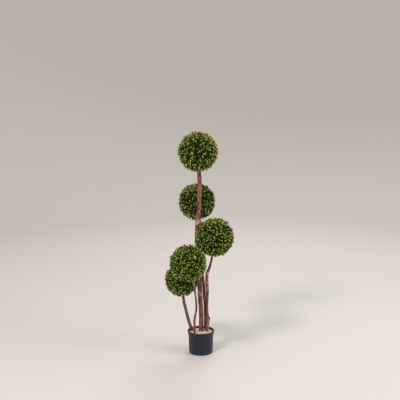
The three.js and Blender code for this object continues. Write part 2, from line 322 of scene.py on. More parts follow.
@dataclass(frozen=True)
class DriedBark:
    """A dried hardwood stick with its bark on, sealed with a thin varnish: red-brown, darker in
    its furrows and paler on its worn ridges, with a soft sheen. It reads the stem's own relief,
    and runs along the stem because it reads where each point would be on a straight one. Where
    a side shoot was pruned, the stem's bare measure lets its pale pink dry wood show.
    """

    name: str
    furrow: str = "#4f2926"
    body: str = "#8e544a"
    ridge: str = "#c08f83"
    patch: str = "#8c6244"
    grown_ring: str = "#b0847a"
    wood: str = "#d2b1ab"
    ior: float = 1.5
    fibres: Mottle = Mottle(1.7, 4.0, 0.6)
    fibre_stretch: float = 9
    fibre_share: float = 0.55
    patches: Mottle = Mottle(26, 3.0, 0.55)
    patch_stretch: float = 3
    patch_cover: Span = Span(0.48, 0.66, 0.0, 0.6)
    grown_rings: Mottle = Mottle(1.4, 2.0)
    wood_by_bareness: Span = Span(0.42, 0.58, 0.0, 1.0)
    roughness_by_relief: Span = Span(0.3, 1.0, 0.7, 0.46)
    bump: Bump = Bump(0.5, 0.0004)

    def material(self) -> bpy.types.Material:
        """Builds the material.

        Returns:
            The bark, with the bare wood of its cuts.
        """
        material, tree, shader = new_material(self.name, {"IOR": self.ior})
        straight, relief, bare = (
            add_node(tree, "Attribute", output, attribute_name=name, attribute_type="GEOMETRY")
            for name, output in (("straight", "Vector"), ("relief", "Fac"), ("bare", "Fac"))
        )
        patterns = []
        drawn_out = ((self.fibres, self.fibre_stretch), (self.patches, self.patch_stretch))
        for pattern, stretch in drawn_out:
            squeeze = {"Scale": (1, 1, 1 / stretch)}
            place = add_node(tree, "Mapping", "Vector", squeeze, {"Vector": straight})
            patterns.append(add_node(tree, "TexNoise", "Fac", pattern.values(), {"Vector": place}))
        fibres, patches = patterns
        summed = {0: fibres, 2: relief}
        share = {1: self.fibre_share}
        height = add_node(tree, "Math", "Value", share, summed, operation="MULTIPLY_ADD")
        stops = ((0.3, self.furrow), (0.72, self.body), (1.0, self.ridge))
        streaked = add_node(tree, "ValToRGB", "Color", links={"Fac": height}, stops=stops)
        cover = add_node(tree, "MapRange", "Result", self.patch_cover.values(), {"Value": patches})
        mixed = {"Fac": cover, "Color1": streaked}
        bark = add_node(tree, "MixRGB", "Color", {"Color2": linear(self.patch)}, mixed)
        place = add_node(tree, "TexCoord", "Object")
        rings = add_node(tree, "TexNoise", "Fac", self.grown_rings.values(), {"Vector": place})
        stops = ((0.4, self.grown_ring), (0.6, self.wood))
        wood = add_node(tree, "ValToRGB", "Color", links={"Fac": rings}, stops=stops)
        cut = add_node(tree, "MapRange", "Result", self.wood_by_bareness.values(), {"Value": bare})
        mixed = {"Fac": cut, "Color1": bark, "Color2": wood}
        coloured = add_node(tree, "MixRGB", "Color", links=mixed)
        sheen = self.roughness_by_relief.values()
        gloss = add_node(tree, "MapRange", "Result", sheen, {"Value": height})
        bump = add_node(tree, "Bump", "Normal", self.bump.values(), {"Height": fibres})
        wire(tree, shader, None, {"Base Color": coloured, "Roughness": gloss, "Normal": bump})
        return material


@dataclass(frozen=True)
class MouldedPolyethylene:
    """Soft polyethylene, moulded in one colour: waxy, with a broad soft glint on each leaf."""

    name: str
    colour: str
    roughness: float = 0.3
    specular: float = 0.55
    ior: float = 1.51

    def material(self) -> bpy.types.Material:
        """Builds the material."""
        even = {"Base Color": linear(self.colour), "Roughness": self.roughness, "IOR": self.ior}
        return new_material(self.name, {**even, "Specular IOR Level": self.specular})[0]


@dataclass(frozen=True)
class StudioPaint:
    """Matt emulsion on the floor and the sweep behind it."""

    name: str = "studio_paint"
    colour: str = "#d3ceca"
    roughness: float = 0.9

    def material(self) -> bpy.types.Material:
        """Builds the material."""
        even = {"Base Color": linear(self.colour), "Roughness": self.roughness}
        return new_material(self.name, even)[0]


# Shapes


@dataclass
class Shape:
    """Corners, and faces of three or four corners each, for one mesh."""

    corners: np.ndarray
    faces: list[list[int]]


def skin(rings: np.ndarray) -> Shape:
    """Covers a row of closed rings, and closes its two ends.

    Args:
        rings: Places by ring and side. Each ring runs anticlockwise as seen from further along.

    Returns:
        The closed shape, with its faces pointing out.
    """
    count, sides, _ = rings.shape
    start, end = count * sides, count * sides + 1
    corners = np.vstack([rings.reshape(-1, 3), rings[0].mean(0), rings[-1].mean(0)])
    faces = []
    for ring in range(count - 1):
        for side in range(sides):
            here = ring * sides + side
            beside = ring * sides + (side + 1) % sides
            faces.append([here, beside, beside + sides, here + sides])
    last = (count - 1) * sides
    for side in range(sides):
        beside = (side + 1) % sides
        faces.append([start, beside, side])
        faces.append([end, last + side, last + beside])
    return Shape(corners, faces)


def repeated(faces: Sequence[Sequence[int]], corners: Sequence[np.ndarray]) -> Shape:
    """Many bent copies of one small closed shape.

    Args:
        faces: The faces of one copy, each of as many corners as the others.
        corners: Each corner of one copy, as a row of places for all copies.

    Returns:
        All copies as one shape.
    """
    stacked = np.stack(corners, axis=1)
    firsts = np.arange(len(stacked)) * len(corners)
    every = (np.array(faces)[None] + firsts[:, None, None]).reshape(-1, len(faces[0]))
    return Shape(stacked.reshape(-1, 3), every.tolist())


def new_mesh(name: str, shape: Shape) -> bpy.types.Mesh:
    """Makes a smooth mesh that keeps its sharp edges.

    Args:
        name: The mesh's name.
        shape: Its corners and faces.

    Returns:
        The mesh.
    """
    mesh = bpy.data.meshes.new(name)
    mesh.from_pydata(shape.corners.tolist(), [], shape.faces)
    mesh.shade_smooth()
    mesh.set_sharp_from_angle(angle=CREASE)
    return mesh


def new_object(name: str, data: bpy.types.ID) -> bpy.types.Object:
    """Puts an object in the scene.

    Args:
        name: The object's name.
        data: The mesh, light or camera that it holds.

    Returns:
        The new object.
    """
    made = bpy.data.objects.new(name, data)
    bpy.context.scene.collection.objects.link(made)
    return made


def add_piece(
    name: str, shape: Shape, material: bpy.types.Material, node: str
) -> bpy.types.Mesh:
    """Puts a shape in the scene as a piece that stands for a node of the frame.

    Args:
        name: The piece's name.
        shape: Its shape, already in place.
        material: Its finish.
        node: The node that it replaces.

    Returns:
        The piece's mesh.
    """
    mesh = new_mesh(name, shape)
    mesh.materials.append(material)
    piece = new_object(name, mesh)
    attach(piece, BODY)
    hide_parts(node)
    LOG.info("%s: %d faces, in place of %s", name, len(mesh.polygons), node)
    return mesh


def unit(vectors: np.ndarray) -> np.ndarray:
    """The same directions with a length of 1."""
    return vectors / np.linalg.norm(vectors, axis=-1, keepdims=True)


def level_way(bearing: float) -> np.ndarray:
    """The level direction at a bearing."""
    turn = math.radians(bearing)
    return np.array([math.cos(turn), math.sin(turn), 0.0])


def even_directions(count: int) -> np.ndarray:
    """Spreads directions evenly over a sphere, along a spiral.

    Args:
        count: How many there are.

    Returns:
        The directions, as rows of length 1.
    """
    index = np.arange(count)
    height = 1 - (2 * (index + 0.5)) / count
    reach = np.sqrt(1 - height**2)
    turn = index * GOLDEN_ANGLE
    return np.stack([reach * np.cos(turn), reach * np.sin(turn), height], axis=1)


def leaned(directions: np.ndarray, angles: np.ndarray, turns: np.ndarray) -> np.ndarray:
    """Leans directions away from themselves.

    Args:
        directions: The directions, as rows of length 1.
        angles: How far each leans.
        turns: Which way each leans, as an angle about it.

    Returns:
        The leaned directions.
    """
    slanted = np.abs(directions[:, 2:]) < NEARLY_UPRIGHT
    helper = np.where(slanted, [[0.0, 0.0, 1.0]], [[1.0, 0.0, 0.0]])
    side = unit(np.cross(directions, helper))
    turns = turns[:, None]
    hinge = side * np.cos(turns) + np.cross(directions, side) * np.sin(turns)
    angles = angles[:, None]
    return directions * np.cos(angles) + np.cross(hinge, directions) * np.sin(angles)


def uneven(ways: np.ndarray, size: float, patch: Point) -> np.ndarray:
    """Smooth noise over a ball, from about -1 to 1.

    Args:
        ways: The directions at which it is read.
        size: How far its rises lie apart, as a share of the ball's radius.
        patch: Which part of the noise is read.

    Returns:
        The noise at each direction.
    """
    return np.array([noise.noise(Vector(way) / size + Vector(patch)) for way in ways])


def smooth_step(share: float) -> float:
    """A share from 0 to 1 that starts and ends gently."""
    held = min(max(share, 0.0), 1.0)
    return held * held * (3 - 2 * held)


# The pot and its filling


def arc(middle: tuple[float, float], radius: float, start: float, end: float, steps: int) -> Outline:
    """Points of a round stretch of a profile.

    Args:
        middle: Its middle, as distance from the axis and height.
        radius: Its radius.
        start: The angle where it starts, in degrees from straight out.
        end: The angle where it ends.
        steps: How many steps it takes.

    Returns:
        The points.
    """
    turns = [math.radians(start + (end - start) * step / steps) for step in range(steps + 1)]
    return [(middle[0] + radius * math.cos(t), middle[1] + radius * math.sin(t)) for t in turns]


def turned(profile: Outline, sides: int) -> np.ndarray:
    """Rings about the vertical axis.

    Args:
        profile: Each ring's distance from the axis and its height.
        sides: How many corners a ring has.

    Returns:
        Places by ring and side.
    """
    angles = np.arange(sides) / sides * 2 * math.pi
    rings = [
        np.stack([radius * np.cos(angles), radius * np.sin(angles), np.full(sides, height)], 1)
        for radius, height in profile
    ]
    return np.array(rings)


@dataclass
class Pot:
    """A thin moulded pot with a collar and a rolled lip, a rounded foot and a hollow base."""

    base_radius: float = 0.0534
    body_top_radius: float = 0.0555
    wall: float = 0.0017
    floor: float = 0.003
    foot_round: float = 0.0045
    collar_radius: float = 0.057
    collar_foot: float = 0.080
    collar_step: float = 0.0025
    lip_radius: float = 0.0602
    lip_height: float = 0.0055
    lip_round: float = 0.0016
    hollow_radius: float = 0.046
    hollow_depth: float = 0.0012
    hollow_slope: float = 0.0015
    sides: int = 144
    foot_steps: int = 6
    wall_steps: int = 12
    shoulder_steps: int = 6
    lip_steps: int = 5
    finish: MouldedPolypropylene = MouldedPolypropylene()

    def profile(self, height: float) -> Outline:
        """The pot's outline from under its base, up outside, over the lip and down inside.

        Args:
            height: The pot's height.

        Returns:
            The outline.
        """
        points = [
            (AXIS_GAP, self.hollow_depth),
            (self.hollow_radius - self.hollow_slope, self.hollow_depth),
            (self.hollow_radius, 0.0),
        ]
        foot = (self.base_radius - self.foot_round, self.foot_round)
        points += arc(foot, self.foot_round, -90, 0, self.foot_steps)
        for step in range(1, self.wall_steps):
            share = step / self.wall_steps
            radius = self.base_radius + (self.body_top_radius - self.base_radius) * share
            points.append((radius, self.foot_round + (self.collar_foot - self.foot_round) * share))
        for step in range(self.shoulder_steps + 1):
            share = step / self.shoulder_steps
            widening = (self.collar_radius - self.body_top_radius) * smooth_step(share)
            climb = self.collar_step * share
            points.append((self.body_top_radius + widening, self.collar_foot + climb))
        inside = self.collar_radius - self.wall
        outer = self.lip_radius - self.lip_round
        top = height - self.lip_round
        for middle, start in (
            ((outer, height - self.lip_height + self.lip_round), -90),
            ((outer, top), 0),
            ((inside + self.lip_round, top), 90),
        ):
            points += arc(middle, self.lip_round, start, start + 90, self.lip_steps)
        points += [
            (inside, self.collar_foot + self.collar_step),
            (self.body_top_radius - self.wall, self.collar_foot),
            (self.base_radius - self.wall, self.floor),
            (AXIS_GAP, self.floor),
        ]
        return points

    def room(self, gap: float) -> Outline:
        """The outline of what fills the pot up to its collar, from its floor up.

        Args:
            gap: How far the filling stays off the pot.

        Returns:
            The outline.
        """
        off = self.wall + gap
        return [
            (AXIS_GAP, self.floor + gap),
            (self.base_radius - off, self.floor + gap),
            (self.body_top_radius - off, self.collar_foot),
            (self.collar_radius - off, self.collar_foot + self.collar_step),
        ]

    def build(self) -> None:
        """Makes the pot as high as its node is."""
        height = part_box("pot")[1].z
        shape = skin(turned(self.profile(height), self.sides))
        add_piece("moulded_pot", shape, self.finish.material(), "pot")


@dataclass
class Filling:
    """The cast block in the pot, with a lumpy top that creeps up round each stem and falls away
    to the wall, a crack between two of the stems, and a heap along part of the edge. The slices
    tell which part of the noise is read.
    """

    feet: Sequence[tuple[float, float, float]]  # each stem's x, y and radius where it comes out
    level_radius: float = 0.049
    edge_height: float = 0.0915
    gap: float = 0.0003
    ring_step: float = 0.0009
    sides: int = 180
    lump: float = 0.0011
    lump_size: float = 0.013
    lump_slice: float = 0.7
    grit: float = 0.0003
    grit_size: float = 0.003
    grit_slice: float = 4.2
    creep: float = 0.0016
    creep_spread: float = 0.0035
    crack_from: tuple[float, float] = (0.0115, 0.018)
    crack_to: tuple[float, float] = (0.0262, -0.0255)
    crack_depth: float = 0.0024
    crack_width: float = 0.0013
    crack_wander: float = 0.0022
    crack_bends: float = 5
    crack_slice: float = 3.1
    crumb_place: tuple[float, float] = (0.0162, 0.0285)
    crumb_radius: float = 0.0042
    crumb_rise: float = 0.0034
    heap: float = 0.003
    heap_bearing: float = 35
    heap_start: float = 0.034
    finish: CastPlaster = CastPlaster()

    def from_crack(self, x: float, y: float) -> float:
        """How far a point lies from the crack's wandering line.

        Args:
            x: Where the point lies along X.
            y: Where it lies along Y.

        Returns:
            The distance, or a metre beyond the crack's ends.
        """
        start, end = Vector(self.crack_from), Vector(self.crack_to)
        along = end - start
        share = (Vector((x, y)) - start).dot(along) / along.length_squared
        if not 0 <= share <= 1:
            return 1.0
        wander = self.crack_wander * noise.noise((share * self.crack_bends, self.crack_slice, 0.0))
        across = Vector((-along.y, along.x)).normalized()
        return (Vector((x, y)) - start - along * share - across * wander).length

    def rise(self, x: float, y: float) -> float:
        """How far the top stands above its level at a point.

        Args:
            x: Where the point lies along X.
            y: Where it lies along Y.

        Returns:
            The rise, which is negative in the crack.
        """
        height = 0.0
        for depth, size, piece in (
            (self.lump, self.lump_size, self.lump_slice),
            (self.grit, self.grit_size, self.grit_slice),
        ):
            height += depth * noise.noise((x / size, y / size, piece))
        for foot_x, foot_y, radius in self.feet:
            away = max(0.0, math.hypot(x - foot_x, y - foot_y) - radius)
            height += self.creep * math.exp(-((away / self.creep_spread) ** 2))
        height -= self.crack_depth * math.exp(-((self.from_crack(x, y) / self.crack_width) ** 2))
        towards = level_way(self.heap_bearing)[:2] @ (x, y) - self.heap_start
        height += self.heap * smooth_step(towards / (self.level_radius - self.heap_start))
        from_crumb = math.hypot(x - self.crumb_place[0], y - self.crumb_place[1])
        return height + self.crumb_rise * math.exp(-((from_crumb / self.crumb_radius) ** 4))

    def build(self, pot: Pot) -> None:
        """Makes the block within its node.

        Args:
            pot: The pot that it fills.
        """
        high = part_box("pot_fill")[1]
        body = pot.room(self.gap)
        edge = body[-1][0]
        body.append((edge, self.edge_height))
        steps = round(edge / self.ring_step)
        top = []
        for step in range(steps - 1, 0, -1):
            radius = edge * step / steps
            fall = max(0.0, (radius - self.level_radius) / (edge - self.level_radius))
            top.append((radius, high.z + (self.edge_height - high.z) * fall))
        surface = turned(top, self.sides)
        for corner in surface.reshape(-1, 3):
            corner[2] += self.rise(corner[0], corner[1])
        shape = skin(np.concatenate([turned(body, self.sides), surface]))
        add_piece("cast_filling", shape, self.finish.material(), "pot_fill")


# The stems


@dataclass(frozen=True)
class Knot:
    """A knot on a stem, at a height and a bearing."""

    height: float
    bearing: float
    rise: float
    spread: float


@dataclass(frozen=True)
class Scar:
    """A flat cut where a side shoot was taken off, facing the way that its bearing tells.

    reach is how far its face stands from the stem's middle line.
    """

    height: float
    bearing: float
    reach: float
    radius: float = 0.006


@dataclass(frozen=True)
class Wrinkles:
    """A stretch of a stem where the bark is drawn into rings."""

    low: float
    high: float
    depth: float
    pitch: float


@dataclass(frozen=True)
class ToneBand:
    """A stretch of a stem whose bark is paler than the rest, or darker where change is negative."""

    low: float
    high: float
    change: float
    fade: float = 0.02


@dataclass(frozen=True)
class Section:
    """One ring of a stem: its middle, two directions across it, its mean radius, and how far
    along the stem it lies.
    """

    middle: np.ndarray
    normal: np.ndarray
    binormal: np.ndarray
    mean: float
    along: float

    def outward(self, angle: float) -> np.ndarray:
        """The direction from the middle at an angle round the ring."""
        return self.normal * math.cos(angle) + self.binormal * math.sin(angle)


@dataclass
class Stem:
    """A crooked tapering stick with its bark on, from the filling into its ball.

    Each station is its x, y, height and radius, and the last is followed by the ball. Depths and
    stretches are shares, sizes and pitches are metres, and slices tell which part of the noise is
    read.
    """

    name: str
    ball: str
    tip_radius: float
    phase: float
    stations: Sequence[Sequence[float]]
    knots: Sequence[Knot]
    finish: DriedBark
    scars: Sequence[Scar] = ()
    wrinkles: Sequence[Wrinkles] = ()
    tone_bands: Sequence[ToneBand] = ()
    sides: int = 30
    ring_step: float = 0.0015
    samples_per_span: int = 40
    thinning: int = 4  # one point of the middle line in so many is kept for its route
    end_share: float = 0.82
    core_share: float = 0.7
    sunk: float = 0.004
    bare_reach: float = 0.004
    bare_border: float = 0.5  # how bare the wood is at the edge of a cut
    out_of_round: float = 0.07
    oval_pitch: float = 0.06
    lobe_pitch: float = 0.035
    lobe_share: float = 0.6
    furrow_depth: float = 0.055
    furrow_width: float = 0.0028
    furrow_stretch: float = 9
    furrow_steepness: float = 2.4
    lump_depth: float = 0.05
    lump_size: float = 0.012
    lump_stretch: float = 2
    lump_slice: float = 7
    mean_relief: float = -0.025  # what the furrows and lumps come to all round
    mid_tone: float = 0.5
    ring_depth: float = 0.00016
    ring_pitch: float = 0.0058
    ring_wander: float = 1.6
    wander_pitch: float = 0.02
    ring_patch: float = 0.035
    ring_slice: float = 2.5
    ring_cover: float = 0.35

    def middle_line(self, ball: "FoliageBall") -> np.ndarray:
        """The stem's middle line, by the centripetal curve that its solid follows.

        Args:
            ball: The ball that it carries.

        Returns:
            Points along it, close together and evenly spaced, as rows.
        """
        points = [np.array(station[:3]) for station in self.stations]
        centre = np.array(ball.centre)
        points.append(centre - self.end_share * ball.radius * unit(centre - points[-1]))
        ends = [2 * points[0] - points[1], *points, 2 * points[-1] - points[-2]]
        line = []
        for before, start, end, after in zip(ends, ends[1:], ends[2:], ends[3:]):
            first, span, last = (
                math.sqrt(np.linalg.norm(b - a)) for a, b in pairwise((before, start, end, after))
            )
            leaving = (start - before) / first - (end - before) / (first + span)
            leaving = (leaving + (end - start) / span) * span
            meeting = (end - start) / span - (after - start) / (span + last)
            meeting = (meeting + (after - end) / last) * span
            for step in range(self.samples_per_span):
                t = step / self.samples_per_span
                bend = (3 * (end - start) - 2 * leaving - meeting) * t**2
                bend += (2 * (start - end) + leaving + meeting) * t**3
                line.append(start + leaving * t + bend)
        line.append(points[-1])
        inward = unit(points[-1] - line[-2])
        line.append(points[-1] + inward * (self.end_share - self.core_share) * ball.radius)
        line.insert(0, line[0] + unit(line[0] - line[1]) * self.sunk)
        line = np.array(line)
        lengths = np.concatenate([[0], np.cumsum(np.linalg.norm(np.diff(line, axis=0), axis=1))])
        places = np.linspace(0, lengths[-1], math.ceil(lengths[-1] / self.ring_step) + 1)
        return np.stack([np.interp(places, lengths, line[:, axis]) for axis in range(3)], axis=1)

    def route(self, ball: "FoliageBall") -> np.ndarray:
        """Its thinned middle line, with its radius in the fourth column, which leaves keep off."""
        line = self.middle_line(ball)[:: self.thinning]
        return np.column_stack([line, [self.radius_at(point[2], line[-1][2]) for point in line]])

    def radius_at(self, height: float, top: float) -> float:
        """The stem's mean radius at a height.

        Args:
            height: The height.
            top: The height where it enters its ball's core.

        Returns:
            The radius.
        """
        heights = [*(station[2] for station in self.stations), top]
        radii = [*(station[3] for station in self.stations), self.tip_radius]
        above = bisect_left(heights, height)
        if above == len(heights):
            return radii[-1]
        if above == 0:
            return radii[0]
        share = (height - heights[above - 1]) / (heights[above] - heights[above - 1])
        return radii[above - 1] + (radii[above] - radii[above - 1]) * smooth_step(share)

    def relief(self, angle: float, along: float, radius: float) -> float:
        """How far the bark's pattern stands off its mean at a point.

        Args:
            angle: The angle round the stem.
            along: The distance along it.
            radius: Its mean radius there.

        Returns:
            The relief, as a share of the radius.
        """
        x, y = radius * math.cos(angle), radius * math.sin(angle)
        width, lump = self.furrow_width, self.lump_size
        lengthwise = along / width / self.furrow_stretch + self.phase
        fine = noise.noise((x / width, y / width, lengthwise))
        lengthwise = along / lump / self.lump_stretch + self.phase * self.lump_slice
        lumps = noise.noise((x / lump, y / lump, lengthwise))
        furrows = self.furrow_depth * (1 - abs(fine) * self.furrow_steepness)
        return self.lump_depth * lumps - furrows - self.mean_relief

    def rings_at(self, angle: float, along: float, height: float) -> float:
        """How far the faint rings and the wrinkles round the bark stand out at a point.

        Args:
            angle: The angle round the stem.
            along: The distance along it.
            height: The height there.

        Returns:
            The rise.
        """
        lengthwise = along / self.wander_pitch + self.phase
        wander = self.ring_wander * noise.noise((math.cos(angle), math.sin(angle), lengthwise))
        patch = noise.noise((self.phase, self.ring_slice, along / self.ring_patch))
        share = max(0.0, patch + self.ring_cover)
        rise = self.ring_depth * share * math.sin(along / self.ring_pitch * 2 * math.pi + wander)
        for fold in self.wrinkles:
            held = smooth_step(min(height - fold.low, fold.high - height) / fold.pitch)
            rise += held * fold.depth * math.sin(height / fold.pitch * 2 * math.pi + wander)
        return rise

    def tone_shift(self, height: float) -> float:
        """How much paler the bark is at a height than its pattern makes it."""
        return sum(
            stretch.change
            * smooth_step(min(height - stretch.low, stretch.high - height) / stretch.fade)
            for stretch in self.tone_bands
        )

    def sections(self, line: np.ndarray) -> list[Section]:
        """The stem's rings, square to its middle line and without twist.

        Args:
            line: The points of its middle line.

        Returns:
            One section for each point.
        """
        tangents = unit(np.gradient(line, axis=0))
        normal = unit(np.cross(tangents[0], [0.0, 1.0, 0.0]))
        sections = []
        along = 0.0
        for place, (middle, tangent) in enumerate(zip(line, tangents)):
            if place:
                along += np.linalg.norm(middle - line[place - 1])
            normal = unit(normal - tangent * (normal @ tangent))
            mean = self.radius_at(middle[2], line[-1][2])
            sections.append(Section(middle, normal, np.cross(tangent, normal), mean, along))
        return sections

    def radius_of(self, section: Section, angle: float, relief: float) -> float:
        """The surface's distance from the middle line, with its knots and the bark's relief.

        Args:
            section: The ring.
            angle: The angle round it.
            relief: The bark's pattern there, as a share of the radius.

        Returns:
            The distance.
        """
        height = section.middle[2]
        outward = section.outward(angle)
        wobble = math.sin(2 * angle + self.phase + height / self.oval_pitch)
        wobble += self.lobe_share * math.sin(3 * angle + height / self.lobe_pitch)
        radius = section.mean * (1 + self.out_of_round * wobble + relief)
        radius += self.rings_at(angle, section.along, height)
        for knot in self.knots:
            facing = max(0.0, outward @ level_way(knot.bearing))
            near = math.exp(-(((height - knot.height) / knot.spread) ** 2))
            radius += knot.rise * facing**2 * near
        return radius

    def cut_back(
        self, place: np.ndarray, outward: np.ndarray, line: np.ndarray
    ) -> tuple[np.ndarray, float]:
        """Moves a point of the surface back to the face of the scar that cuts it.

        Args:
            place: The point.
            outward: The direction from the middle line to it.
            line: The points of the middle line.

        Returns:
            The point, and how bare the wood is there, from 0 to 1.
        """
        bare = 0.0
        for scar in self.scars:
            facing = level_way(scar.bearing)
            middle = [np.interp(scar.height, line[:, 2], line[:, axis]) for axis in range(3)]
            face = np.array(middle) + facing * scar.reach
            proud = (place - face) @ facing
            inside = min(proud, scar.radius + proud - np.linalg.norm(place - face))
            bare = max(bare, min(1.0, self.bare_border + inside / self.bare_reach))
            if inside > 0:
                return place - outward * proud / (outward @ facing), bare
        return place, bare

    def build(self, ball: "FoliageBall") -> None:
        """Makes the stem in place of its node, with the measures that its bark reads.

        Args:
            ball: The ball that it carries.
        """
        line = self.middle_line(ball)
        sections = self.sections(line)
        rings, straight, reliefs, bares = [], [], [], []
        for section in sections:
            mean, along = section.mean, section.along
            # The tone bands shift the measure that the bark's colours read; on the main stem two of
            # them are a painted shadow and painted light.
            paler = self.mid_tone + self.tone_shift(section.middle[2])
            for angle in np.arange(self.sides) / self.sides * 2 * math.pi:
                outward = section.outward(angle)
                relief = self.relief(angle, along, mean)
                place = section.middle + outward * self.radius_of(section, angle, relief)
                place, bare = self.cut_back(place, outward, line)
                rings.append(place)
                straight.append((mean * math.cos(angle), mean * math.sin(angle), along))
                pattern = relief + self.mean_relief
                reliefs.append(paler + pattern / (self.furrow_depth + self.lump_depth))
                bares.append(bare)
        straight += [(0.0, 0.0, 0.0), (0.0, 0.0, sections[-1].along)]
        reliefs += [self.mid_tone, self.mid_tone]
        bares += [0.0, 0.0]
        shape = skin(np.array(rings).reshape(len(line), self.sides, 3))
        bark = self.finish.material()
        mesh = add_piece(f"{self.name}_bark", shape, bark, self.name)
        for name, kind, key, values in (
            ("straight", "FLOAT_VECTOR", "vector", straight),
            ("relief", "FLOAT", "value", reliefs),
            ("bare", "FLOAT", "value", bares),
        ):
            measure = mesh.attributes.new(name, kind, "POINT")
            measure.data.foreach_set(key, np.array(values, np.float32).ravel())


# The clipped balls


@dataclass(frozen=True)
class LeafPair:
    """Two leaves set opposite each other on a twig.

    root_share counts along the twig, lean is how far the leaves turn away from straight out, and
    dull is the growth that they have on a spray of older growth.
    """

    root_share: float
    lean: float
    length: float
    width: float
    growth: Growth
    dull: Growth


PAIRS = (
    LeafPair(0.15, 0.75, 0.0135, 0.0062, Growth.OLD_AND_SHADED, Growth.OLD_AND_SHADED),
    LeafPair(0.45, 0.62, 0.0135, 0.0058, Growth.OLD_AND_SHADED, Growth.OLD_AND_SHADED),
    LeafPair(0.70, 0.52, 0.0130, 0.0052, Growth.GROWN, Growth.OLD_AND_SHADED),
    LeafPair(0.86, 0.42, 0.0128, 0.0046, Growth.GROWN, Growth.GROWN),
    LeafPair(1.00, 0.28, 0.0118, 0.0042, Growth.FRESH, Growth.GROWN),
)
CHECKED_SHARES = (0.25, 0.5, 0.75, 1.0)  # where along a twig or a leaf its clearance is measured
TWIG_HELPER = 0.1  # keeps the direction that a twig's sides are turned from off its own
LEAF_FOLD = (0.1, 0.5)  # a leaf's least fold over half its width, and how much more it may have
LEAF_ARCH = (0.02, 0.1)  # the same of its arch, over its length
LEAF_THICKNESS = 0.02  # half of it, over its length
LEAF_STATIONS = ((0.32, 0.95), (0.70, 0.92))  # how far along it, and how wide it is there
LEAF_RIM = ((2, 4), (4, 3), (3, 5), (5, 2))  # neighbours among its corners at the first station


@dataclass(frozen=True)
class Twigs:
    """A ball's fine twigs: where each starts and ends, from the ball's middle, and whether it
    carries fresh growth, which stands out further.
    """

    feet: np.ndarray
    tips: np.ndarray
    fresh: np.ndarray


@dataclass(frozen=True)
class Surroundings:
    """What a ball's growth keeps off: the other balls, and the route of each stem."""

    balls: Sequence["FoliageBall"]
    stems: Sequence[np.ndarray]


